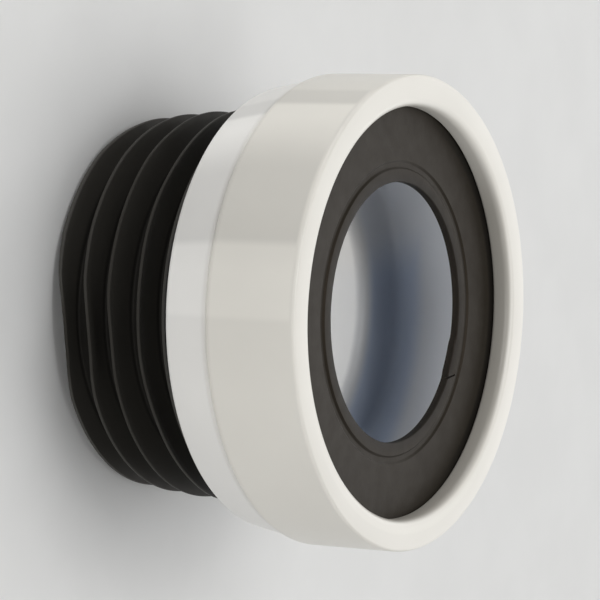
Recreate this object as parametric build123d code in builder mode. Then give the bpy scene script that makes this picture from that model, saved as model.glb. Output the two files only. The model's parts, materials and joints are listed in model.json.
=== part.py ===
from build123d import *
import os
from math import radians, tan

# A straight toilet pan connector, standing on its outlet end. Lengths are in millimetres.
# The connector's axis is Z. The outlet end lies on Z = 0, and the pan goes in from above.

# Collar as a whole, from the rim's face to the flat back of the collar
collar_length = 44.0

# Retaining ring: the front of the collar, with its thick rounded rim
ring_outer_radius = 67.5
ring_wall = 3.0
ring_length = 28.3
rim_opening_radius = 58.5
rim_depth = 6.1
rim_outer_round = 1.0
rim_inner_round = 3.8

# Joint line between the ring and the body's shoulder
joint_round = 1.4
shoulder_step = 0.9

# Snap bead inside the ring, and its groove round the body's barrel
snap_height = 0.6
snap_width = 3.0
snap_rise = 4.5
slip_clearance = 0.15

# Body: barrel and chamber
barrel_wall = 3.0
barrel_chamfer = 0.8
shoulder_taper = 3.2
shoulder_rear_round = 2.5
chamber_floor_thickness = 3.0
chamber_draft_angle = 1.5
chamber_corner_round = 4.0

# Body: outlet tube, with a bead at its end that holds the sleeve on
tube_bore_radius = 42.0
tube_wall = 3.0
tube_entry_round = 3.0
tube_bead_height = 0.9
tube_bead_length = 1.0
tube_bead_chamfer = 0.4

# Inlet seal: a flat membrane, its edge trapped between the rim and the barrel
seal_thickness = 2.2
seal_hole_radius = 37.0
seal_edge_clearance = 0.3
lip_width = 3.3
lip_round = 0.5
groove_width = 3.3
groove_depth = 0.65
groove_slope = 0.7

# Finned sleeve on the outlet tube. The fins get smaller towards the outlet end, each by more than the last
sleeve_wall = 2.2
sleeve_clearance = 0.1
fin_count = 5
fin_pitch = 9.1
first_fin_drop = 4.3
last_fin_margin = 2.5
fin_tip_radius = 57.0
fin_taper = 0.18
fin_root_thickness = 3.2
fin_tip_thickness = 1.0
fin_tip_crown = 0.3
fin_root_round = 0.8

# Heights that follow from the sizes above
spigot_length = first_fin_drop + (fin_count - 1) * fin_pitch + last_fin_margin + tube_bead_length
collar_back = spigot_length
rim_face = collar_back + collar_length
joint_line = rim_face - ring_length
rim_underside = rim_face - rim_depth
groove_bed = rim_underside - groove_depth
barrel_top = rim_underside - seal_thickness
chamber_floor = collar_back + chamber_floor_thickness
snap_middle = joint_line + snap_rise

# Radii that follow from the sizes above
skirt_radius = ring_outer_radius - ring_wall
barrel_radius = skirt_radius - slip_clearance
chamber_mouth_radius = barrel_radius - barrel_wall
chamber_base_radius = chamber_mouth_radius - (barrel_top - chamber_floor) * tan(radians(chamber_draft_angle))
shoulder_radius = ring_outer_radius - shoulder_step
shoulder_rear_radius = shoulder_radius - shoulder_taper
tube_radius = tube_bore_radius + tube_wall
tube_bead_radius = tube_radius + tube_bead_height
seal_edge_radius = skirt_radius - seal_edge_clearance
lip_radius = seal_hole_radius + lip_width
groove_radius = lip_radius + groove_width
sleeve_inner_radius = tube_radius + sleeve_clearance
sleeve_radius = sleeve_inner_radius + sleeve_wall


def snap_outline(radius: float, depth: float, half_width: float) -> list[tuple[float, float]]:
    """Gives the four corners of the snap's sloped ridge or groove, from its top to its foot."""
    return [
        (radius, snap_middle + half_width),
        (radius - depth, snap_middle + half_width - depth),
        (radius - depth, snap_middle - half_width + depth),
        (radius, snap_middle - half_width),
    ]


# Body: one moulding, turned from its half section
with BuildPart() as body:
    with BuildSketch(Plane.XZ) as body_section:
        with BuildLine():
            Polyline(
                (tube_bore_radius, 0),
                (tube_bead_radius - tube_bead_chamfer, 0),
                (tube_bead_radius, tube_bead_chamfer),
                (tube_bead_radius, tube_bead_length),
                (tube_radius, tube_bead_length),
                (tube_radius, collar_back),
                (shoulder_rear_radius, collar_back),
                (shoulder_radius, joint_line),
                (barrel_radius, joint_line),
                *reversed(snap_outline(barrel_radius, snap_height, snap_width / 2 + slip_clearance)),
                (barrel_radius, barrel_top - barrel_chamfer),
                (barrel_radius - barrel_chamfer, barrel_top),
                (chamber_mouth_radius, barrel_top),
                (chamber_base_radius, chamber_floor),
                (tube_bore_radius, chamber_floor),
                close=True,
            )
        make_face()
        corners = body_section.vertices()
        fillet(corners.sort_by_distance((shoulder_rear_radius, collar_back))[0], shoulder_rear_round)
        fillet(corners.sort_by_distance((shoulder_radius, joint_line))[0], joint_round)
        fillet(corners.sort_by_distance((chamber_base_radius, chamber_floor))[0], chamber_corner_round)
        fillet(corners.sort_by_distance((tube_bore_radius, chamber_floor))[0], tube_entry_round)
    revolve(axis=Axis.Z)

# Retaining ring: skirt over the barrel, snap bead inside, rim over the edge of the seal
with BuildPart() as retaining_ring:
    with BuildSketch(Plane.XZ) as ring_section:
        with BuildLine():
            Polyline(
                (skirt_radius, joint_line),
                (ring_outer_radius, joint_line),
                (ring_outer_radius, rim_face),
                (rim_opening_radius, rim_face),
                (rim_opening_radius, rim_underside),
                (skirt_radius, rim_underside),
                *snap_outline(skirt_radius, snap_height, snap_width / 2),
                close=True,
            )
        make_face()
        corners = ring_section.vertices()
        fillet(corners.sort_by_distance((ring_outer_radius, joint_line))[0], joint_round)
        fillet(corners.sort_by_distance((ring_outer_radius, rim_face))[0], rim_outer_round)
        fillet(corners.sort_by_distance((rim_opening_radius, rim_face))[0], rim_inner_round)
    revolve(axis=Axis.Z)

# Inlet seal: flat membrane with a rounded lip at the hole and a shallow groove that lets the lip stretch
with BuildPart() as inlet_seal:
    with BuildSketch(Plane.XZ) as seal_section:
        with BuildLine():
            Polyline(
                (seal_hole_radius, barrel_top),
                (seal_edge_radius, barrel_top),
                (seal_edge_radius, rim_underside),
                (groove_radius, rim_underside),
                (groove_radius - groove_slope, groove_bed),
                (lip_radius + groove_slope, groove_bed),
                (lip_radius, rim_underside),
                (seal_hole_radius, rim_underside),
                close=True,
            )
        make_face()
        corners = seal_section.vertices()
        fillet(corners.sort_by_distance((seal_hole_radius, rim_underside))[0], lip_round)
    revolve(axis=Axis.Z)

# Outlet sleeve: a plain tube of rubber with tapered fins, between the collar's back and the tube's bead
with BuildPart() as outlet_sleeve:
    with BuildSketch(Plane.XZ) as sleeve_section:
        with BuildLine():
            Polyline(
                (sleeve_inner_radius, tube_bead_length),
                (sleeve_radius, tube_bead_length),
                (sleeve_radius, collar_back),
                (sleeve_inner_radius, collar_back),
                close=True,
            )
        make_face()
        for fin in range(fin_count):
            fin_height = collar_back - first_fin_drop - fin * fin_pitch
            tip = fin_tip_radius - fin_taper * fin**2
            with BuildLine():
                upper_flank = Line(
                    (sleeve_radius, fin_height + fin_root_thickness / 2),
                    (tip - fin_tip_crown, fin_height + fin_tip_thickness / 2),
                )
                lower_flank = Line(
                    (tip - fin_tip_crown, fin_height - fin_tip_thickness / 2),
                    (sleeve_radius, fin_height - fin_root_thickness / 2),
                )
                ThreePointArc(upper_flank @ 1, (tip, fin_height), lower_flank @ 0)
                Line(lower_flank @ 1, upper_flank @ 0)
            make_face()
        # Corners on the sleeve's outside, less the two at its ends, are the roots of the fins
        fin_roots = sleeve_section.vertices().group_by(Axis.X)[1].sort_by(Axis.Y)[1:-1]
        fillet(fin_roots, fin_root_round)
    revolve(axis=Axis.Z)

body.part.label = "body"
retaining_ring.part.label = "retaining_ring"
inlet_seal.part.label = "inlet_seal"
outlet_sleeve.part.label = "outlet_sleeve"

os.makedirs("parts", exist_ok=True)
export_step(body.part, "parts/body.step")
export_step(retaining_ring.part, "parts/retaining_ring.step")
export_step(inlet_seal.part, "parts/inlet_seal.step")
export_step(outlet_sleeve.part, "parts/outlet_sleeve.step")
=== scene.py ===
"""Looks of a straight toilet pan connector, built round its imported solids. Lengths are in metres."""

import json
import logging
import math
from collections.abc import Callable
from dataclasses import dataclass, field
from enum import Enum

import bmesh
import bpy
from mathutils import Matrix, Vector


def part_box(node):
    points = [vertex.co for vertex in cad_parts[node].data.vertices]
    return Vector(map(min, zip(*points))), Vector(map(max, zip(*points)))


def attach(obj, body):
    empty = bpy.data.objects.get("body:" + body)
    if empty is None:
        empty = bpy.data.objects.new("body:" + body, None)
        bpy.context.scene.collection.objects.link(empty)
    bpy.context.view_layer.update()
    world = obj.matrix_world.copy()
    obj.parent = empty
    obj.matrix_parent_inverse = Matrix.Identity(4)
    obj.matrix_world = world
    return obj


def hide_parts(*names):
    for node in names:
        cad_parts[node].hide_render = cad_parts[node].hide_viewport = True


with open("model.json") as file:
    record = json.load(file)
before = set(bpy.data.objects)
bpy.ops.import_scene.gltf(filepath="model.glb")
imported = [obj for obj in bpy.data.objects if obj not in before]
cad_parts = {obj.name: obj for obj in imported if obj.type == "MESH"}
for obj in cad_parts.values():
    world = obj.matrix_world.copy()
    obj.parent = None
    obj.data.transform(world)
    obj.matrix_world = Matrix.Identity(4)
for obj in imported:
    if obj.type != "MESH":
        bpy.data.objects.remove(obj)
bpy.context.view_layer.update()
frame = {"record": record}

LOG = logging.getLogger("pan_connector")
MM = 0.001
TINY = 1e-7
FULL_TURN = 360.0
TURN_STEPS = 240
SMOOTH_DEG = 40.0
NOISE_MEAN = 0.5

# What the ring and the body share: the ring's wall, and the line round the collar where they meet
RING_WALL = 3.0 * MM
JOINT_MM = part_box("retaining_ring")[0].z / MM

Colour = tuple[float, float, float]
Socket = bpy.types.NodeSocket
VertexTest = Callable[[bmesh.types.BMVert], bool]


class Body(Enum):
    """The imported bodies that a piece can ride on."""

    ROOT = "root"


class Slot(Enum):
    """The record's material slots."""

    BODY = "body_white"
    RING = "ring_white"
    SEAL = "seal_rubber"
    SLEEVE = "fin_rubber"


class Falloff(Enum):
    """How a pull on soft rubber fades along the surface."""

    BENT_LIP = "SHARP"
    PRESSED = "SMOOTH"


class LightShape(Enum):
    """The outlines that a soft light can have."""

    PANEL = "RECTANGLE"
    DISC = "DISK"


class MixMode(Enum):
    """How a second colour goes on a first."""

    COVER = "MIX"
    TINT = "MULTIPLY"


class Op(Enum):
    """The sums that give a surface its varying numbers."""

    ADD = "ADD"
    SUBTRACT = "SUBTRACT"
    MULTIPLY = "MULTIPLY"
    DIVIDE = "DIVIDE"
    MINIMUM = "MINIMUM"
    ABSOLUTE = "ABSOLUTE"
    FRACTION = "FRACT"
    SQUARE_ROOT = "SQRT"
    SINE = "SINE"
    COSINE = "COSINE"
    ARCTAN2 = "ARCTAN2"


def mount_radius(name: str) -> float:
    """Gives the radius of one of the record's round mounts, by its name."""
    found = next(mount for mount in frame["record"]["mounts"] if mount["name"] == name)
    return found["dims"]["r_mm"] * MM


def turn_from(place: Vector, direction: float) -> float:
    """Gives the angle round the axis between a place and a direction, in degrees."""
    turn = (math.degrees(math.atan2(place.y, place.x)) - direction) % FULL_TURN
    return min(turn, FULL_TURN - turn)


@dataclass(frozen=True)
class FinRow:
    """The sleeve's fins, counted from the collar. They get smaller, each by more than the last."""

    first_height: float
    widest: float
    count: int = 5
    pitch: float = 9.1 * MM
    taper: float = 0.18 * MM

    def height(self, fin: int) -> float:
        """Gives the height of a fin's middle."""
        return self.first_height - fin * self.pitch

    def tip(self, fin: int) -> float:
        """Gives the radius of a fin's tip."""
        return self.widest - self.taper * fin**2


FIRST_FIN_DROP = 4.3 * MM
SLEEVE_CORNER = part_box("outlet_sleeve")[1]
FIN_ROW = FinRow(SLEEVE_CORNER.z - FIRST_FIN_DROP, SLEEVE_CORNER.x)


@dataclass(frozen=True)
class Fade:
    """A stretch over which something comes or goes: where that starts and where it ends."""

    start: float
    end: float


@dataclass(frozen=True)
class Arc:
    """A part of the circle round the axis: its middle, and how far it is full and fades, in degrees."""

    middle: float
    full: float
    end: float


@dataclass(frozen=True)
class Signal:
    """What a node puts out. Signals take the signs of plain arithmetic."""

    sheet: "NodeSheet"
    socket: Socket

    def __add__(self, other: "Number") -> "Signal":
        """Adds another signal or a number."""
        return self.sheet.calc(Op.ADD, self, other)

    def __sub__(self, other: "Number") -> "Signal":
        """Takes away another signal or a number."""
        return self.sheet.calc(Op.SUBTRACT, self, other)

    def __rsub__(self, other: float) -> "Signal":
        """Takes the signal away from a number."""
        return self.sheet.calc(Op.SUBTRACT, other, self)

    def __mul__(self, other: "Number") -> "Signal":
        """Multiplies by another signal or a number."""
        return self.sheet.calc(Op.MULTIPLY, self, other)

    def __truediv__(self, other: "Number") -> "Signal":
        """Divides by another signal or a number."""
        return self.sheet.calc(Op.DIVIDE, self, other)

    def __abs__(self) -> "Signal":
        """Drops the sign."""
        return self.sheet.calc(Op.ABSOLUTE, self)


Number = Signal | float
Paint = Signal | Colour


@dataclass(frozen=True)
class Spot:
    """A place on a round piece: its radius and height in millimetres, and its angle in turns."""

    radius: Signal
    angle: Signal
    height: Signal


class NodeSheet:
    """Adds and links nodes in a material or in a node group."""

    def __init__(self, tree: bpy.types.NodeTree) -> None:
        """Works on one node tree."""
        self.tree = tree

    def feed(self, entry: Socket, value: Number | Colour) -> None:
        """Links a signal to a node's input, or sets the input's own value.

        Args:
            entry: The input.
            value: A signal, a number or a colour.
        """
        if isinstance(value, Signal):
            self.tree.links.new(value.socket, entry)
        elif isinstance(value, tuple):
            entry.default_value = (*value, 1.0)
        else:
            entry.default_value = value

    def fill(self, node: bpy.types.Node, inputs: dict[str, Number | Colour]) -> None:
        """Feeds some of a node's inputs, by name with underscores for spaces."""
        for name, value in inputs.items():
            self.feed(node.inputs[name.replace("_", " ")], value)

    def add(self, kind: str, **inputs: Number | Colour) -> bpy.types.Node:
        """Adds a node.

        Args:
            kind: The node's type name, less its common first part.
            inputs: What goes into its inputs, by name with underscores for spaces.

        Returns:
            The new node.
        """
        node = self.tree.nodes.new("ShaderNode" + kind)
        self.fill(node, inputs)
        return node

    def signals(self, node: bpy.types.Node) -> dict[str, Signal]:
        """Gives all that a node puts out, by name."""
        return {socket.name: Signal(self, socket) for socket in node.outputs}

    def group(self, tree: bpy.types.NodeTree, **inputs: Number) -> dict[str, Signal]:
        """Places a node group.

        Args:
            tree: The group.
            inputs: What goes into its inputs, by name.

        Returns:
            What it puts out, by name.
        """
        node = self.add("Group")
        node.node_tree = tree
        self.fill(node, inputs)
        return self.signals(node)

    def calc(self, op: Op, first: Number, second: Number = 0.0, clamp: bool = False) -> Signal:
        """Works out a number.

        Args:
            op: The kind of sum.
            first: The first number.
            second: The second number, for the sums that take two.
            clamp: Whether the result stays between 0 and 1.

        Returns:
            The result.
        """
        node = self.add("Math")
        node.operation = op.value
        node.use_clamp = clamp
        self.feed(node.inputs[0], first)
        self.feed(node.inputs[1], second)
        return Signal(self, node.outputs[0])

    def ramp(self, value: Signal, fade: Fade, first: float = 0.0, last: float = 1.0) -> Signal:
        """Lets a number go smoothly from one value to another.

        Args:
            value: What the change follows.
            fade: Where the change starts and ends.
            first: The result before it starts.
            last: The result after it ends.

        Returns:
            The result.
        """
        node = self.add(
            "MapRange", Value=value, From_Min=fade.start, From_Max=fade.end, To_Min=first, To_Max=last
        )
        node.interpolation_type = "SMOOTHSTEP"
        return Signal(self, node.outputs["Result"])

    def facing(self, angle: Signal, arc: Arc) -> Signal:
        """Tells how far a place lies in one part of the circle round the axis.

        Args:
            angle: The place's angle, in turns.
            arc: The part of the circle.

        Returns:
            A number that is 1 in the arc's middle and 0 past its ends.
        """
        away = (angle - arc.middle / FULL_TURN) * math.tau
        edge = Fade(math.cos(math.radians(arc.end)), math.cos(math.radians(arc.full)))
        return self.ramp(self.calc(Op.COSINE, away), edge)

    def noise(self, place: Signal, scale: Number, detail: float, roughness: float = 0.5) -> Signal:
        """Makes soft noise about its mean, with finer layers in it."""
        node = self.add("TexNoise", Vector=place, Scale=scale, Detail=detail, Roughness=roughness)
        return self.signals(node)["Fac"]

    def blend(self, share: Number, first: Paint, second: Paint, mode: MixMode = MixMode.COVER) -> Signal:
        """Puts a second colour on a first.

        Args:
            share: How much of the second colour there is.
            first: The first colour.
            second: The second colour.
            mode: How the second colour goes on the first.

        Returns:
            The mixed colour.
        """
        node = self.add("Mix")
        node.data_type = "RGBA"
        node.blend_type = mode.value
        entries = [entry for entry in node.inputs if entry.enabled]
        for entry, value in zip(entries, (share, first, second)):
            self.feed(entry, value)
        return Signal(self, next(result for result in node.outputs if result.enabled))

    def tint(self, colour: Colour, tone: Signal) -> Signal:
        """Makes a colour lighter or darker by a tone about one."""
        return self.blend(1.0, colour, tone, MixMode.TINT)

    def spot(self, round_place: bpy.types.NodeTree, place: Signal) -> Spot:
        """Turns a place on the object into its radius, angle and height, by the group that does it."""
        parts = self.group(round_place, Place=place)
        return Spot(parts["Radius"], parts["Angle"], parts["Height"])


class GroupSheet(NodeSheet):
    """The nodes of one shader node group."""

    def __init__(self, name: str, inputs: list[str], outputs: list[str]) -> None:
        """Starts the group, which takes a place.

        Args:
            name: The group's name.
            inputs: The names of the numbers that it takes as well.
            outputs: The names of the numbers that it puts out.
        """
        super().__init__(bpy.data.node_groups.new(name, "ShaderNodeTree"))
        new_socket = self.tree.interface.new_socket
        new_socket("Place", in_out="INPUT", socket_type="NodeSocketVector")
        for label in inputs:
            new_socket(label, in_out="INPUT", socket_type="NodeSocketFloat")
        for label in outputs:
            new_socket(label, in_out="OUTPUT", socket_type="NodeSocketFloat")
        self.entry = self.signals(self.tree.nodes.new("NodeGroupInput"))
        self.leave = self.tree.nodes.new("NodeGroupOutput")

    def put_out(self, **outputs: Signal) -> bpy.types.NodeTree:
        """Feeds the group's outputs, by name, and gives the finished group."""
        self.fill(self.leave, outputs)
        return self.tree


@dataclass(frozen=True)
class ReflectionPanel:
    """A painted reflection: a lighter or darker panel along the collar, the angles over which it comes and
    goes, and its tone.
    """

    comes: Fade
    goes: Fade
    tone: float


@dataclass(frozen=True)
class CollarStreaksAndReflections:
    """The collar's faint streaks along the axis, and broad panels of painted reflection on the outside.

    The panels are painted reflections of the room that a glossy collar mirrors, and are fixed to the part.
    Angles are in degrees from +X. A piece can shift its first panels, by less and less over the angles of
    the shift.
    """

    panels: tuple[ReflectionPanel, ...] = (
        ReflectionPanel(Fade(203.0, 205.5), Fade(210.3, 212.3), -0.11),
        ReflectionPanel(Fade(211.0, 213.0), Fade(216.0, 229.0), 0.13),
        ReflectionPanel(Fade(224.0, 236.0), Fade(252.6, 255.2), -0.165),
        ReflectionPanel(Fade(254.0, 262.0), Fade(270.6, 272.4), 0.055),
        ReflectionPanel(Fade(271.2, 272.7), Fade(274.0, 292.0), -0.015),
    )
    shift_deg: Fade = Fade(215.0, 245.0)
    outside_mm: Fade = Fade(61.5, 63.0)
    below_rim_mm: Fade = Fade(2.0, 0.8)
    streak_scale: float = 2.6
    streak_detail: float = 2.0
    streak_rise: float = 0.012
    streak_strength: float = 0.08

    def build(self, round_place: bpy.types.NodeTree) -> bpy.types.NodeTree:
        """Builds the node group.

        Args:
            round_place: The group that gives a place's radius, angle and height.

        Returns:
            The group, whose tone is about zero.
        """
        sheet = GroupSheet("CollarStreaksAndReflections", ["Shift"], ["Tone"])
        spot = sheet.spot(round_place, sheet.entry["Place"])
        turn = spot.angle * math.tau
        east, north = sheet.calc(Op.COSINE, turn), sheet.calc(Op.SINE, turn)
        wheel = sheet.add("CombineXYZ", X=east, Y=north, Z=spot.height * self.streak_rise)
        streak = sheet.noise(sheet.signals(wheel)["Vector"], self.streak_scale, self.streak_detail)
        tone = (streak - NOISE_MEAN) * self.streak_strength
        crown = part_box("retaining_ring")[1].z / MM
        rim = Fade(crown - self.below_rim_mm.start, crown - self.below_rim_mm.end)
        outside = sheet.ramp(spot.radius, self.outside_mm) * sheet.ramp(spot.height, rim, 1.0, 0.0)
        angle = sheet.calc(Op.FRACTION, spot.angle + 1.0) * FULL_TURN
        angle = angle - sheet.ramp(angle, self.shift_deg, 1.0, 0.0) * sheet.entry["Shift"]
        # Each panel adds a painted reflection, lighter or darker, on the outside
        for panel in self.panels:
            come = sheet.ramp(angle, panel.comes, 0.0, panel.tone)
            stay = sheet.ramp(angle, panel.goes, 1.0, 0.0)
            tone = tone + come * stay * outside
        return sheet.put_out(Tone=tone)


@dataclass(frozen=True)
class Mottle:
    """Soft clouds on a surface: how fine and how strong they are."""

    scale: float
    strength: float


@dataclass(frozen=True)
class Grain:
    """The fine grain that a mould leaves: how fine, how strong and how deep it is."""

    scale: float
    strength: float
    depth: float


class SharedEffects:
    """Node groups that more than one finish uses. A grain is fine noise with some coarse noise under it."""

    COARSE_SCALE = 0.13
    COARSE_HEIGHT = 1.5

    def __init__(self) -> None:
        """Builds each group once."""
        self.round_place = self.build_round_place()
        self.mottle = self.build_mottle()
        self.grain = self.build_grain()
        self.collar_streaks_and_reflections = CollarStreaksAndReflections().build(self.round_place)

    @staticmethod
    def build_round_place() -> bpy.types.NodeTree:
        """Builds the group that turns a place into its radius, angle and height, in millimetres and turns.

        Returns:
            The group.
        """
        sheet = GroupSheet("RoundPlace", [], ["Radius", "Angle", "Height"])
        x, y, z = sheet.signals(sheet.add("SeparateXYZ", Vector=sheet.entry["Place"])).values()
        radius = sheet.calc(Op.SQUARE_ROOT, x * x + y * y)
        angle = sheet.calc(Op.ARCTAN2, y, x)
        return sheet.put_out(Radius=radius / MM, Angle=angle / math.tau, Height=z / MM)

    @staticmethod
    def build_mottle() -> bpy.types.NodeTree:
        """Builds the group that makes soft cloudy differences of tone, about zero.

        Returns:
            The group.
        """
        sheet = GroupSheet("Mottle", ["Scale", "Strength"], ["Tone"])
        cloud = sheet.noise(sheet.entry["Place"], sheet.entry["Scale"], detail=3.0, roughness=0.55)
        return sheet.put_out(Tone=(cloud - NOISE_MEAN) * sheet.entry["Strength"])

    def build_grain(self) -> bpy.types.NodeTree:
        """Builds the group that makes the height of a mould's grain.

        Returns:
            The group.
        """
        sheet = GroupSheet("MouldGrain", ["Scale"], ["Height"])
        place, scale = sheet.entry["Place"], sheet.entry["Scale"]
        fine = sheet.noise(place, scale, detail=2.0, roughness=0.6)
        coarse = sheet.noise(place, scale * self.COARSE_SCALE, detail=1.0)
        return sheet.put_out(Height=fine + coarse * self.COARSE_HEIGHT)


class FinishSheet(NodeSheet):
    """The nodes of one finish: its shader, and the place on the object that its patterns follow."""

    def __init__(self, name: str, effects: SharedEffects) -> None:
        """Starts the finish's material.

        Args:
            name: The material's name.
            effects: The shared node groups.
        """
        self.material = bpy.data.materials.new(name)
        self.material.use_nodes = True
        super().__init__(self.material.node_tree)
        self.tree.nodes.clear()
        self.effects = effects
        self.shader = self.add("BsdfPrincipled")
        self.add("OutputMaterial", Surface=self.signals(self.shader)["BSDF"])
        self.place = self.signals(self.add("TexCoord"))["Object"]

    def clouds(self, mottle: Mottle) -> Signal:
        """Gives the tone of soft clouds, about zero."""
        values = {"Scale": mottle.scale, "Strength": mottle.strength}
        return self.group(self.effects.mottle, Place=self.place, **values)["Tone"]

    def roughness(self, mean: float, mottle: Mottle) -> Signal:
        """Gives a roughness that varies about its mean."""
        return self.calc(Op.ADD, self.clouds(mottle), mean, clamp=True)

    def grained(self, grain: Grain) -> Signal:
        """Gives the normal of a grained surface.

        Args:
            grain: The grain.

        Returns:
            The normal.
        """
        height = self.group(self.effects.grain, Place=self.place, Scale=grain.scale)["Height"]
        bump = self.add("Bump", Height=height, Strength=grain.strength, Distance=grain.depth)
        return self.signals(bump)["Normal"]

    def finish(self, **inputs: Number | Colour) -> bpy.types.Material:
        """Feeds the shader, by its inputs' names with underscores for spaces, and gives the material."""
        self.fill(self.shader, inputs)
        return self.material


@dataclass(frozen=True)
class InsidePaintedShade:
    """Painted shade on the inside of a piece, as a dull colour. It can be lighter in the tube, high up and
    along one arc.
    """

    colour: Colour
    share: float
    edge_mm: Fade
    lighter_arc: Arc
    lighter_arc_share: float
    tube_mm: Fade = Fade(0.0, 1.0)
    tube_share: float = 1.0
    upper_mm: Fade = Fade(0.0, 1.0)
    upper_share: float = 1.0

    def cover(self, sheet: NodeSheet, spot: Spot) -> Signal:
        """Works out how much painted shade a place gets.

        Args:
            sheet: The finish's nodes.
            spot: The place.

        Returns:
            The share of painted shade.
        """
        within = sheet.ramp(spot.radius, self.edge_mm, self.share, 0.0)
        past_tube = sheet.ramp(spot.radius, self.tube_mm, self.tube_share)
        below = sheet.ramp(spot.height, self.upper_mm, 1.0, self.upper_share)
        beside = 1.0 - sheet.facing(spot.angle, self.lighter_arc) * (1.0 - self.lighter_arc_share)
        return within * past_tube * sheet.calc(Op.MINIMUM, below, beside)


@dataclass(frozen=True)
class JointDarkening:
    """A darker band in the line round the collar where the ring meets the body."""

    colour: Colour = (0.30, 0.28, 0.24)
    share: float = 0.13
    away_mm: Fade = Fade(0.9, 2.2)

    def cover(self, sheet: NodeSheet, spot: Spot) -> Signal:
        """Works out how far the darker band covers a place."""
        return sheet.ramp(abs(spot.height - JOINT_MM), self.away_mm, self.share, 0.0)


@dataclass(frozen=True)
class WhitePlastic:
    """Glossy white polypropylene: streaks, painted reflections, painted shade along one arc and inside, a
    darker joint.
    """

    name: str
    colour: Colour
    inside_shade: InsidePaintedShade
    shade_share: float
    shade_arc: Arc = Arc(350.0, 30.0, 62.0)
    panel_shift: float = 0.0
    outside_mm: Fade = Fade(62.0, 63.0)
    joint_dark: JointDarkening = JointDarkening()
    mottle: Mottle = Mottle(30.0, 0.03)
    roughness: float = 0.32
    gloss: Mottle = Mottle(90.0, 0.08)
    grain: Grain = Grain(900.0, 0.03, 0.05 * MM)
    ior: float = 1.49

    def build(self, effects: SharedEffects) -> bpy.types.Material:
        """Builds the material.

        Args:
            effects: The shared node groups.

        Returns:
            The material.
        """
        sheet = FinishSheet(self.name, effects)
        spot = sheet.spot(effects.round_place, sheet.place)
        # Streaks along the axis and painted reflections on the collar's outside
        streaks_and_reflections = sheet.group(effects.collar_streaks_and_reflections, Place=sheet.place, Shift=self.panel_shift)["Tone"]
        outside = sheet.ramp(spot.radius, self.outside_mm)
        shade = sheet.facing(spot.angle, self.shade_arc) * self.shade_share * outside
        white = sheet.tint(self.colour, sheet.clouds(self.mottle) + streaks_and_reflections + 1.0 - shade)
        # Painted shade on the inside of the piece
        inside_shaded = sheet.blend(self.inside_shade.cover(sheet, spot), white, self.inside_shade.colour)
        joint_dark = self.joint_dark.cover(sheet, spot) * outside
        return sheet.finish(
            Base_Color=sheet.blend(joint_dark, inside_shaded, self.joint_dark.colour),
            Roughness=sheet.roughness(self.roughness, self.gloss),
            IOR=self.ior,
            Normal=sheet.grained(self.grain),
        )


@dataclass(frozen=True)
class PaintedCornerShadow:
    """Painted shadow in the corner where a flat piece of rubber goes under a rim, along one arc."""

    share: float
    colour: Colour = (0.003, 0.0028, 0.0025)
    edge_mm: Fade = Fade(55.4, 57.0)
    arc: Arc = Arc(95.0, 40.0, 75.0)

    def cover(self, sheet: NodeSheet, spot: Spot) -> Signal:
        """Works out how much painted shadow a place gets."""
        return sheet.ramp(spot.radius, self.edge_mm, 0.0, self.share) * sheet.facing(spot.angle, self.arc)


@dataclass(frozen=True)
class FinTipHighlight:
    """A painted highlight along the fins' tips. It is least at one height, and grows with each fin from
    there.
    """

    row: FinRow
    tip_mm: Fade
    least: float
    least_fin: float
    gain: float

    def cover(self, sheet: NodeSheet, spot: Spot) -> Signal:
        """Works out how much painted highlight a place gets.

        Args:
            sheet: The finish's nodes.
            spot: The place.

        Returns:
            The share of painted highlight.
        """
        fin = (self.row.first_height / MM - spot.height) / (self.row.pitch / MM)
        untapered = spot.radius + fin * fin * (self.row.taper / MM)
        away = fin - self.least_fin
        return sheet.ramp(untapered, self.tip_mm) * (away * away * self.gain + self.least)


@dataclass(frozen=True)
class SoftRubber:
    """Matt rubber with a pale dusty bloom, darker near the axis. It can have painted highlights on fin tips
    or a painted shadow in a corner.
    """

    name: str
    colour: Colour
    near_axis_colour: Colour
    near_axis_mm: Fade
    bloom_colour: Colour
    bloom_share: float
    roughness: float
    sheen: float
    sheen_tint: Colour
    # A painted highlight along the fins' tips
    wear: FinTipHighlight | None = None
    # A painted shadow in the corner under a rim
    corner: PaintedCornerShadow | None = None
    dust: Mottle = Mottle(60.0, 1.6)
    specks: Mottle = Mottle(900.0, 0.9)
    mean_dust: float = 0.5
    gloss: Mottle = Mottle(220.0, 0.2)
    grain: Grain = Grain(1500.0, 0.12, 0.1 * MM)

    def build(self, effects: SharedEffects) -> bpy.types.Material:
        """Builds the material.

        Args:
            effects: The shared node groups.

        Returns:
            The material.
        """
        sheet = FinishSheet(self.name, effects)
        spot = sheet.spot(effects.round_place, sheet.place)
        # Darker near the axis: on the sleeve this is painted shade between the fins, on the membrane it is
        # darker round the hole
        near_axis = sheet.ramp(spot.radius, self.near_axis_mm, 1.0, 0.0)
        rubber = sheet.blend(near_axis, self.colour, self.near_axis_colour)
        clouds = sheet.clouds(self.dust) + sheet.clouds(self.specks)
        pale = sheet.calc(Op.ADD, clouds, self.mean_dust, clamp=True) * self.bloom_share
        # The pale share holds the dust, and on the fins also the painted highlight along their tips
        if self.wear:
            pale = sheet.calc(Op.ADD, pale, self.wear.cover(sheet, spot), clamp=True)
        surface = sheet.blend(pale, rubber, self.bloom_colour)
        # Painted shadow in the corner under the rim
        if self.corner:
            surface = sheet.blend(self.corner.cover(sheet, spot), surface, self.corner.colour)
        return sheet.finish(
            Base_Color=surface,
            Roughness=sheet.roughness(self.roughness, self.gloss),
            Specular_IOR_Level=self.sheen,
            Specular_Tint=self.sheen_tint,
            Normal=sheet.grained(self.grain),
        )


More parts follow.
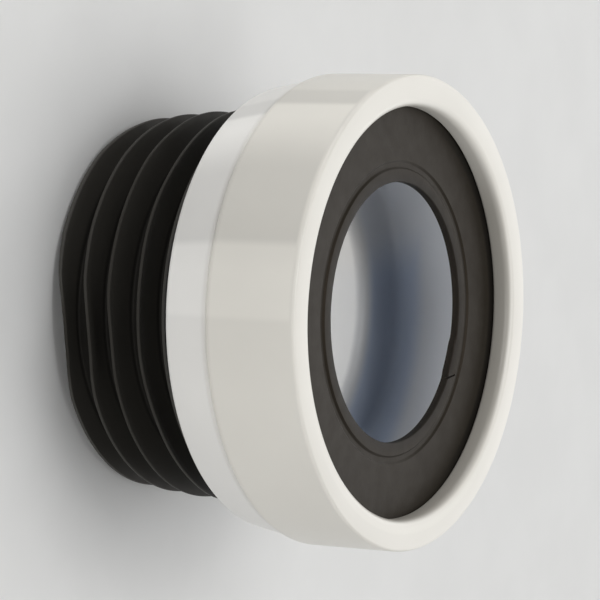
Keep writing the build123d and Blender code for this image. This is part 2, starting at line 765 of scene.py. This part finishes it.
@dataclass(frozen=True)
class FloorPaper:
    """Matt pale paper with a faint fibre."""

    name: str = "floor_paper"
    colour: Colour = (0.76, 0.76, 0.75)
    fibre_scale: float = 30.0
    fibre_detail: float = 4.0
    fibre: Fade = Fade(0.3, 0.7)
    darkest: float = 0.985
    lightest: float = 1.015
    roughness: float = 0.9

    def build(self, effects: SharedEffects) -> bpy.types.Material:
        """Builds the material.

        Args:
            effects: The shared node groups.

        Returns:
            The material.
        """
        sheet = FinishSheet(self.name, effects)
        fibre = sheet.noise(sheet.place, self.fibre_scale, self.fibre_detail)
        tone = sheet.ramp(fibre, self.fibre, self.darkest, self.lightest)
        return sheet.finish(Base_Color=sheet.tint(self.colour, tone), Roughness=self.roughness)


@dataclass(frozen=True)
class Corner:
    """One corner of a half section, with the radius that rounds it off."""

    radius: float
    height: float
    rounding: float = 0.0

    @property
    def place(self) -> Vector:
        """Where the corner lies in the section's plane."""
        return Vector((self.radius, 0.0, self.height))


class Lathe:
    """Draws a half section point by point, rounds its corners and turns it about the axis."""

    def __init__(self, name: str, corners: list[Corner], round_steps: int) -> None:
        """Starts a new piece.

        Args:
            name: The finished object's name.
            corners: The closed half section, corner by corner.
            round_steps: Faces across each rounded corner.
        """
        self.corners = corners
        self.round_steps = round_steps
        bpy.ops.object.select_all(action="DESELECT")
        bpy.ops.mesh.primitive_plane_add(size=MM)
        self.piece = bpy.context.object
        self.piece.name = name
        self.piece.data.name = name
        bpy.ops.object.mode_set(mode="EDIT")

    def select(self, test: VertexTest) -> None:
        """Selects the vertices that pass a test, and nothing else.

        Args:
            test: Tells whether a vertex is wanted.
        """
        bpy.ops.mesh.select_all(action="DESELECT")
        mesh = bmesh.from_edit_mesh(self.piece.data)
        for vertex in mesh.verts:
            vertex.select_set(test(vertex))
        mesh.select_flush_mode()
        bmesh.update_edit_mesh(self.piece.data)

    def draw(self) -> None:
        """Shrinks the primitive to a point and extrudes it round the half section."""
        bpy.ops.mesh.select_all(action="SELECT")
        bpy.ops.mesh.merge(type="CENTER")
        bpy.ops.transform.translate(value=self.corners[0].place)
        for here, there in zip(self.corners, self.corners[1:]):
            step = there.place - here.place
            bpy.ops.mesh.extrude_vertices_move(TRANSFORM_OT_translate={"value": step})
        self.select(lambda vertex: len(vertex.link_edges) == 1)
        bpy.ops.mesh.edge_face_add()

    def round_corners(self) -> None:
        """Bevels each corner that has a rounding to that radius."""
        count = len(self.corners)
        for index, corner in enumerate(self.corners):
            if not corner.rounding:
                continue
            back = self.corners[index - 1].place - corner.place
            on = self.corners[(index + 1) % count].place - corner.place
            cut = corner.rounding / math.tan(back.angle(on) / 2)
            self.select(lambda vertex: (vertex.co - corner.place).length < TINY)
            bpy.ops.mesh.bevel(
                offset=cut, offset_type="OFFSET", segments=self.round_steps, affect="VERTICES", profile=0.5
            )

    def divide_edges(self, shortest: float, longest: float, cuts: int) -> None:
        """Divides the section's edges of certain lengths, so that they can bend later.

        Args:
            shortest: Edges under this length are left whole.
            longest: Edges over this length are left whole.
            cuts: New points on each edge.
        """
        bpy.ops.mesh.select_all(action="DESELECT")
        mesh = bmesh.from_edit_mesh(self.piece.data)
        for edge in mesh.edges:
            edge.select_set(shortest < edge.calc_length() < longest)
        bmesh.update_edit_mesh(self.piece.data)
        bpy.ops.mesh.subdivide(number_cuts=cuts)

    def turn(self) -> None:
        """Spins the section through a full turn and closes its seam."""
        bpy.ops.mesh.select_all(action="SELECT")
        bpy.ops.mesh.spin(
            steps=TURN_STEPS, angle=math.tau, center=(0, 0, 0), axis=(0, 0, 1), use_auto_merge=True
        )
        bpy.ops.mesh.select_all(action="SELECT")
        bpy.ops.mesh.remove_doubles(threshold=TINY)
        bpy.ops.mesh.normals_make_consistent(inside=False)

    def pull(self, test: VertexTest, move: Vector, reach: float, falloff: Falloff) -> None:
        """Moves some vertices by hand, and takes the surface round them along.

        Args:
            test: Tells which vertices are held.
            move: How far they go.
            reach: How far along the surface the pull is felt.
            falloff: How the pull fades.
        """
        self.select(test)
        bpy.ops.transform.translate(
            value=move,
            use_proportional_edit=True,
            use_proportional_connected=True,
            proportional_edit_falloff=falloff.value,
            proportional_size=reach,
        )

    def finish(self) -> bpy.types.Object:
        """Leaves edit mode and shades the piece.

        Returns:
            The finished object.
        """
        bpy.ops.object.mode_set(mode="OBJECT")
        bpy.ops.object.shade_smooth_by_angle(angle=math.radians(SMOOTH_DEG))
        self.piece.select_set(False)
        return self.piece


@dataclass
class TurnedPiece:
    """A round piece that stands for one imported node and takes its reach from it."""

    name: str
    node: str
    slot: Slot
    finish: WhitePlastic | SoftRubber
    round_steps: int = 5
    outer: float = field(init=False)
    foot: float = field(init=False)
    top: float = field(init=False)

    def __post_init__(self) -> None:
        """Reads the node's outside radius, foot and top."""
        low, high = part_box(self.node)
        self.outer = high.x
        self.foot = low.z
        self.top = high.z

    def section(self) -> list[Corner]:
        """Gives the piece's closed half section."""
        raise NotImplementedError

    def prepare(self, lathe: Lathe) -> None:
        """Readies the half section for bends, which a stiff piece doesn't need."""

    def wear(self, lathe: Lathe) -> None:
        """Bends the turned piece as wear has, which leaves a stiff piece as it is."""

    def model(self) -> bpy.types.Object:
        """Turns the half section into the piece.

        Returns:
            The piece, without its finish.
        """
        lathe = Lathe(self.name, self.section(), self.round_steps)
        lathe.draw()
        lathe.round_corners()
        self.prepare(lathe)
        lathe.turn()
        self.wear(lathe)
        return lathe.finish()

    def dress(self, piece: bpy.types.Object, effects: SharedEffects) -> None:
        """Gives the piece its finish and puts it in its node's place.

        Args:
            piece: The modelled piece.
            effects: The shared node groups.
        """
        piece.data.materials.clear()
        piece.data.materials.append(self.finish.build(effects))
        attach(piece, Body.ROOT.value)
        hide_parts(self.node)

    def build(self, effects: SharedEffects) -> None:
        """Models the piece, dresses it and reports it.

        Args:
            effects: The shared node groups.
        """
        piece = self.model()
        self.dress(piece, effects)
        LOG.info("%s: %d faces, stands for %s", piece.name, len(piece.data.polygons), self.node)


@dataclass(frozen=True)
class SnapFit:
    """The sloped ridge inside the ring, and the groove round the barrel that it clicks into."""

    height: float = 0.6 * MM
    width: float = 3.0 * MM
    rise: float = 4.5 * MM
    clearance: float = 0.15 * MM

    def corners(self, radius: float, joint_line: float, half_width: float) -> list[Corner]:
        """Gives the four corners of the ridge or of the groove, from top to foot.

        Args:
            radius: The wall that it stands on or is cut into.
            joint_line: The height of the ring's foot.
            half_width: Half its width at the wall.

        Returns:
            The corners.
        """
        middle = joint_line + self.rise
        return [
            Corner(radius, middle + half_width),
            Corner(radius - self.height, middle + half_width - self.height),
            Corner(radius - self.height, middle - half_width + self.height),
            Corner(radius, middle - half_width),
        ]


@dataclass
class RetainingRing(TurnedPiece):
    """The front of the collar: a skirt with a thick rounded rim over the membrane's edge."""

    snap: SnapFit = SnapFit()
    wall: float = RING_WALL
    outer_round: float = 1.0 * MM
    inner_round: float = 2.4 * MM
    foot_round: float = 1.0 * MM
    joint_round: float = 1.4 * MM

    def section(self) -> list[Corner]:
        """Gives the ring's half section: skirt, rim and the rim's underside, which lies on the membrane.

        Returns:
            The corners.
        """
        opening = mount_radius("rim_opening")
        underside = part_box("inlet_seal")[1].z
        skirt = self.outer - self.wall
        return [
            Corner(skirt, self.foot),
            Corner(self.outer, self.foot, self.joint_round),
            Corner(self.outer, self.top, self.outer_round),
            Corner(opening, self.top, self.inner_round),
            Corner(opening, underside, self.foot_round),
            Corner(skirt, underside),
            *self.snap.corners(skirt, self.foot, self.snap.width / 2),
        ]


@dataclass
class ConnectorBody(TurnedPiece):
    """The rear of the collar with its chamber, and the outlet tube."""

    snap: SnapFit = SnapFit()
    ring_wall: float = RING_WALL
    floor_thickness: float = 3.0 * MM
    shoulder_taper: float = 3.2 * MM
    shoulder_round: float = 2.5 * MM
    joint_round: float = 1.4 * MM
    barrel_wall: float = 3.0 * MM
    barrel_chamfer: float = 0.8 * MM
    chamber_draft: float = 0.86 * MM
    chamber_round: float = 4.0 * MM
    tube_wall: float = 3.0 * MM
    tube_entry_round: float = 3.0 * MM
    bead_height: float = 0.9 * MM
    bead_round: float = 0.4 * MM

    def section(self) -> list[Corner]:
        """Gives the body's half section: tube, end bead, shoulder, barrel and chamber.

        Returns:
            The corners.
        """
        ring_low, ring_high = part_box("retaining_ring")
        joint_line = ring_low.z
        bead_top, collar_back = (corner.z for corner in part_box("outlet_sleeve"))
        bore = mount_radius("outlet_bore")
        tube = bore + self.tube_wall
        bead = tube + self.bead_height
        barrel = ring_high.x - self.ring_wall - self.snap.clearance
        chamber = barrel - self.barrel_wall
        chamber_floor = collar_back + self.floor_thickness
        groove = self.snap.corners(barrel, joint_line, self.snap.width / 2 + self.snap.clearance)
        return [
            Corner(bore, self.foot),
            Corner(bead, self.foot, self.bead_round),
            Corner(bead, bead_top),
            Corner(tube, bead_top),
            Corner(tube, collar_back),
            Corner(self.outer - self.shoulder_taper, collar_back, self.shoulder_round),
            Corner(self.outer, joint_line, self.joint_round),
            Corner(barrel, joint_line),
            *reversed(groove),
            Corner(barrel, self.top - self.barrel_chamfer),
            Corner(barrel - self.barrel_chamfer, self.top),
            Corner(chamber, self.top),
            Corner(chamber - self.chamber_draft, chamber_floor, self.chamber_round),
            Corner(bore, chamber_floor, self.tube_entry_round),
        ]


@dataclass(frozen=True)
class RubberCut:
    """A short straight nick in a rubber face, at a place and an angle in degrees from +X."""

    middle: tuple[float, float]
    angle: float
    length: float
    width: float
    depth: float

    def make(self, piece: bpy.types.Object, face: float) -> None:
        """Cuts the nick.

        Args:
            piece: The piece that is cut.
            face: The height of the face that the nick goes down from.
        """
        bpy.ops.object.select_all(action="DESELECT")
        bpy.ops.mesh.primitive_cube_add(size=1.0)
        blade = bpy.context.object
        bpy.ops.object.mode_set(mode="EDIT")
        bpy.ops.mesh.select_all(action="SELECT")
        bpy.ops.transform.resize(value=(self.length, self.width, 2 * self.depth))
        # With no window the operator turns the other way
        turn = -math.radians(self.angle)
        bpy.ops.transform.rotate(value=turn, orient_axis="Z", center_override=(0, 0, 0))
        bpy.ops.transform.translate(value=(*self.middle, face))
        bpy.ops.object.mode_set(mode="OBJECT")
        bpy.context.view_layer.objects.active = piece
        cut = piece.modifiers.new("nick", "BOOLEAN")
        cut.object = blade
        cut.operation = "DIFFERENCE"
        cut.solver = "EXACT"
        bpy.ops.object.modifier_apply(modifier=cut.name)
        bpy.data.meshes.remove(blade.data)


@dataclass
class InletSeal(TurnedPiece):
    """The flat rubber membrane, with a lip round its hole that a groove sets apart."""

    lip_width: float = 3.7 * MM
    lip_round: float = 0.5 * MM
    groove_width: float = 2.5 * MM
    groove_depth: float = 0.5 * MM
    groove_slope: float = 0.6 * MM
    groove_round: float = 0.3 * MM
    back_round: float = 0.25 * MM
    nick: RubberCut = RubberCut(
        middle=(18.75 * MM, 34.3 * MM), angle=101.0, length=5.4 * MM, width=0.5 * MM, depth=0.9 * MM
    )
    sag_angle: float = 69.0
    sag_half_width: float = 7.0
    sag_drop: float = 0.35 * MM
    sag_reach: float = 2.5 * MM

    def section(self) -> list[Corner]:
        """Gives the membrane's half section.

        Returns:
            The corners.
        """
        hole = mount_radius("pan_inlet")
        lip = hole + self.lip_width
        groove = lip + self.groove_width
        bed = self.top - self.groove_depth
        return [
            Corner(hole, self.foot, self.back_round),
            Corner(self.outer, self.foot),
            Corner(self.outer, self.top),
            Corner(groove, self.top, self.groove_round),
            Corner(groove - self.groove_slope, bed, self.groove_round),
            Corner(lip + self.groove_slope, bed, self.groove_round),
            Corner(lip, self.top, self.groove_round),
            Corner(hole, self.top, self.lip_round),
        ]

    def wear(self, lathe: Lathe) -> None:
        """Lets part of the lip sag.

        Args:
            lathe: The turned membrane.
        """
        edge = mount_radius("pan_inlet") + self.lip_round
        lathe.pull(
            lambda vertex: vertex.co.xy.length < edge
            and turn_from(vertex.co, self.sag_angle) < self.sag_half_width,
            Vector((0.0, 0.0, -self.sag_drop)),
            self.sag_reach,
            Falloff.PRESSED,
        )

    def model(self) -> bpy.types.Object:
        """Turns the membrane and nicks its lip beside the sag.

        Returns:
            The piece, without its finish.
        """
        piece = super().model()
        self.nick.make(piece, self.top)
        return piece


@dataclass(frozen=True)
class FinBend:
    """A place where a soft fin has been bent out of true.

    Fins are counted from the collar. The angle, the half width and the fade at each end are in degrees
    round the axis.
    """

    fin: int
    angle: float
    half_width: float
    fade: float
    towards_collar: float
    inward: float = 0.0

    @property
    def move(self) -> Vector:
        """How far the fin's tip goes."""
        turn = math.radians(self.angle)
        return Vector((-math.cos(turn) * self.inward, -math.sin(turn) * self.inward, self.towards_collar))


@dataclass
class OutletSleeve(TurnedPiece):
    """The rubber sleeve on the outlet tube, with its row of tapered fins.

    A fin is bent by its tip, which is held over the grip's depth. Its flanks are divided first. They are
    the only edges of the section with a length between the two that are given.
    """

    round_steps: int = 3
    row: FinRow = FIN_ROW
    inner: float = 45.1 * MM
    wall: float = 2.2 * MM
    root_thickness: float = 3.2 * MM
    tip_thickness: float = 1.0 * MM
    root_round: float = 0.8 * MM
    tip_round: float = 0.35 * MM
    flank_shortest: float = 6.0 * MM
    flank_longest: float = 12.0 * MM
    flank_cuts: int = 4
    grip: float = 1.5 * MM
    bend_layers: int = 5
    bends: tuple[FinBend, ...] = (
        FinBend(1, 268.0, 76.0, 10.0, 0.7 * MM),
        FinBend(1, 214.0, 12.0, 8.0, 0.4 * MM),
        FinBend(1, 246.0, 8.0, 6.0, -0.25 * MM),
        FinBend(1, 318.0, 20.0, 9.0, 0.9 * MM),
        FinBend(2, 243.0, 27.0, 7.0, -0.65 * MM),
        FinBend(2, 281.0, 5.0, 4.0, 0.35 * MM),
        FinBend(3, 233.0, 25.0, 12.0, -1.05 * MM),
        FinBend(3, 281.0, 8.5, 7.0, 1.25 * MM, 0.1 * MM),
        FinBend(3, 310.0, 10.0, 7.0, -0.17 * MM),
        FinBend(4, 233.0, 25.0, 11.0, -1.95 * MM),
        FinBend(4, 281.0, 10.5, 7.0, 1.5 * MM, 0.2 * MM),
    )

    def section(self) -> list[Corner]:
        """Gives the sleeve's half section, with its fins from the collar to the outlet end.

        Returns:
            The corners.
        """
        skin = self.inner + self.wall
        corners = [Corner(self.inner, self.foot), Corner(self.inner, self.top), Corner(skin, self.top)]
        for fin in range(self.row.count):
            middle, tip = self.row.height(fin), self.row.tip(fin)
            corners += [
                Corner(skin, middle + self.root_thickness / 2, self.root_round),
                Corner(tip, middle + self.tip_thickness / 2, self.tip_round),
                Corner(tip, middle - self.tip_thickness / 2, self.tip_round),
                Corner(skin, middle - self.root_thickness / 2, self.root_round),
            ]
        return [*corners, Corner(skin, self.foot)]

    def prepare(self, lathe: Lathe) -> None:
        """Divides the fins' flanks."""
        lathe.divide_edges(self.flank_shortest, self.flank_longest, self.flank_cuts)

    def wear(self, lathe: Lathe) -> None:
        """Bends the fins one by one."""
        for bend in self.bends:
            self.bend_fin(lathe, bend)

    def bend_fin(self, lathe: Lathe, bend: FinBend) -> None:
        """Bends part of a fin in layers, each wider than the last, so that the bend has soft ends.

        Args:
            lathe: The turned sleeve.
            bend: Where the fin bends, and how far.
        """
        tip = self.row.tip(bend.fin) - self.tip_round
        middle = self.row.height(bend.fin)
        reach = tip - self.inner - self.wall
        for layer in range(self.bend_layers):
            half_width = bend.half_width + bend.fade * ((2 * layer + 1) / self.bend_layers - 1)
            lathe.pull(
                lambda vertex: vertex.co.xy.length > tip - self.grip
                and abs(vertex.co.z - middle) < self.row.pitch / 3
                and turn_from(vertex.co, bend.angle) < half_width,
                bend.move / self.bend_layers,
                reach,
                Falloff.BENT_LIP,
            )


@dataclass(frozen=True)
class SoftBox:
    """A studio light with a soft face, aimed at a point."""

    name: str
    place: tuple[float, float, float]
    width: float
    height: float
    power: float
    colour: Colour = (1.0, 1.0, 1.0)
    shape: LightShape = LightShape.PANEL
    beam_deg: float = 180.0

    def build(self, target: Vector) -> None:
        """Hangs the light.

        Args:
            target: The point that it faces.
        """
        bpy.ops.object.light_add(type="AREA", location=self.place)
        light = bpy.context.object
        light.name = self.name
        light.rotation_euler = (target - Vector(self.place)).to_track_quat("-Z", "Y").to_euler()
        light.data.shape = self.shape.value
        light.data.size = self.width
        light.data.size_y = self.height
        light.data.energy = self.power
        light.data.color = self.colour
        light.data.spread = math.radians(self.beam_deg)


@dataclass
class Studio:
    """A pale floor, soft lights and a pale room round them.

    The glow in the tube's end stands for daylight through the open outlet, and faces straight up.
    """

    floor_size: float = 6.0
    floor_finish: FloorPaper = FloorPaper()
    room_colour: Colour = (1.0, 1.0, 1.0)
    room_strength: float = 0.1
    target: tuple[float, float, float] = (0.0, 0.0, 0.05)
    boxes: tuple[SoftBox, ...] = (
        SoftBox("ceiling_light", (0.0, 0.0, 1.4), 1.0, 1.0, 7.1),
        SoftBox("high_front_light", (-0.284, -0.284, 1.286), 0.5, 0.5, 2.0),
        SoftBox("backdrop_light", (0.0, 1.2, 0.55), 2.0, 1.0, 10.05),
        SoftBox("low_front_light", (-0.25, -1.27, 0.34), 1.2, 0.24, 4.2),
        SoftBox("left_light", (-1.2, 0.0, 0.5), 0.9, 0.9, 4.5),
        SoftBox("right_light", (0.864, -0.864, 0.495), 0.5, 0.5, 1.85),
        SoftBox("far_right_light", (1.2, 0.0, 0.6), 0.9, 0.9, 2.8),
    )
    outlet_glow: SoftBox = SoftBox(
        name="outlet_light",
        place=(0.0, 0.0, 0.5 * MM),
        width=82.0 * MM,
        height=82.0 * MM,
        power=0.0235,
        colour=(1.0, 0.965, 0.91),
        shape=LightShape.DISC,
        beam_deg=130.0,
    )
    glow_target: tuple[float, float, float] = (0.0, 0.0, 1.0)

    def build(self, effects: SharedEffects) -> None:
        """Lays the floor, hangs the lights and sets the room's tone.

        Args:
            effects: The shared node groups.
        """
        bpy.ops.object.select_all(action="DESELECT")
        bpy.ops.mesh.primitive_plane_add(size=self.floor_size)
        floor = bpy.context.object
        floor.name = "floor"
        floor.data.materials.append(self.floor_finish.build(effects))
        for box in self.boxes:
            box.build(Vector(self.target))
        self.outlet_glow.build(Vector(self.glow_target))
        world = bpy.data.worlds.new("room")
        world.use_nodes = True
        background = world.node_tree.nodes["Background"]
        background.inputs["Color"].default_value = (*self.room_colour, 1.0)
        background.inputs["Strength"].default_value = self.room_strength
        bpy.context.scene.world = world
        bpy.context.scene.view_settings.view_transform = "Standard"


@dataclass
class PhotoCamera:
    """The camera, turned on its side, so that the upright connector lies across the picture."""

    turn_deg: float = 59.38
    tip_deg: float = 2.22
    across: float = 32.77 * MM
    below: float = 3.78 * MM
    distance: float = 989.5 * MM
    lens_mm: float = 210.0
    sensor_mm: float = 36.0

    def build(self, rim_centre: Vector) -> None:
        """Sets the camera up.

        Args:
            rim_centre: The centre of the rim's face, which the sizes above are counted from.
        """
        turn, tip = math.radians(self.turn_deg), math.radians(self.tip_deg)
        right = Vector((-math.sin(tip) * math.sin(turn), math.cos(turn), math.sin(turn) * math.cos(tip)))
        up = Vector((-math.cos(tip), 0.0, -math.sin(tip)))
        ahead = up.cross(right)
        place = rim_centre - right * self.across + up * self.below - ahead * self.distance
        bpy.ops.object.camera_add()
        camera = bpy.context.object
        camera.name = "photo_camera"
        camera.matrix_world = Matrix.Translation(place) @ Matrix((right, up, -ahead)).transposed().to_4x4()
        camera.data.lens = self.lens_mm
        camera.data.sensor_width = self.sensor_mm
        bpy.context.scene.camera = camera


RING_PLASTIC = WhitePlastic(
    name="warm_white_plastic",
    colour=(0.80, 0.776, 0.716),
    # The grey inside of the rim is painted shade
    inside_shade=InsidePaintedShade(
        colour=(0.40, 0.38, 0.34),
        share=0.9,
        edge_mm=Fade(58.6, 59.9),
        lighter_arc=Arc(180.0, 18.0, 62.0),
        lighter_arc_share=0.25,
    ),
    shade_share=0.035,
)
BODY_PLASTIC = WhitePlastic(
    name="cool_white_plastic",
    colour=(0.865, 0.852, 0.823),
    # The bluish inside of the chamber is painted shade, lighter in the tube, high up and along one arc
    inside_shade=InsidePaintedShade(
        colour=(0.40, 0.555, 0.84),
        share=0.57,
        edge_mm=Fade(61.6, 62.2),
        lighter_arc=Arc(150.0, 33.0, 52.0),
        lighter_arc_share=0.42,
        tube_mm=Fade(43.5, 49.5),
        tube_share=0.25,
        upper_mm=Fade(53.0, 59.0),
        upper_share=0.45,
    ),
    shade_share=0.085,
    panel_shift=3.3,
)
SEAL_RUBBER = SoftRubber(
    name="grey_membrane_rubber",
    colour=(0.0165, 0.0138, 0.0102),
    # Darker round the hole
    near_axis_colour=(0.010, 0.009, 0.008),
    near_axis_mm=Fade(37.0, 41.0),
    bloom_colour=(0.06, 0.054, 0.044),
    bloom_share=0.12,
    roughness=0.48,
    sheen=0.17,
    sheen_tint=(1.0, 0.80, 0.62),
    # Painted shadow where the rim's inner wall shades the membrane
    corner=PaintedCornerShadow(0.9),
)
FIN_RUBBER = SoftRubber(
    name="black_fin_rubber",
    colour=(0.032, 0.0298, 0.0260),
    # Painted shade on the sleeve's wall between the fins
    near_axis_colour=(0.010, 0.0093, 0.0082),
    near_axis_mm=Fade(47.6, 49.0),
    bloom_colour=(0.10, 0.097, 0.09),
    bloom_share=0.05,
    roughness=0.5,
    sheen=0.12,
    sheen_tint=(1.0, 0.95, 0.88),
    # Painted highlight along the fins' tips
    wear=FinTipHighlight(FIN_ROW, tip_mm=Fade(56.55, 56.95), least=0.02, least_fin=1.6, gain=0.09),
)


def main() -> None:
    """Builds the connector piece by piece, then the studio and the camera."""
    logging.basicConfig(level=logging.INFO, format="%(message)s")
    effects = SharedEffects()
    ring = RetainingRing("collar_ring", "retaining_ring", Slot.RING, RING_PLASTIC)
    body = ConnectorBody("collar_body", "body", Slot.BODY, BODY_PLASTIC)
    seal = InletSeal("inlet_membrane", "inlet_seal", Slot.SEAL, SEAL_RUBBER)
    sleeve = OutletSleeve("finned_sleeve", "outlet_sleeve", Slot.SLEEVE, FIN_RUBBER)
    for piece in (ring, body, seal, sleeve):
        piece.build(effects)
    Studio().build(effects)
    PhotoCamera().build(Vector((0.0, 0.0, ring.top)))


if __name__ == "__main__":
    main()
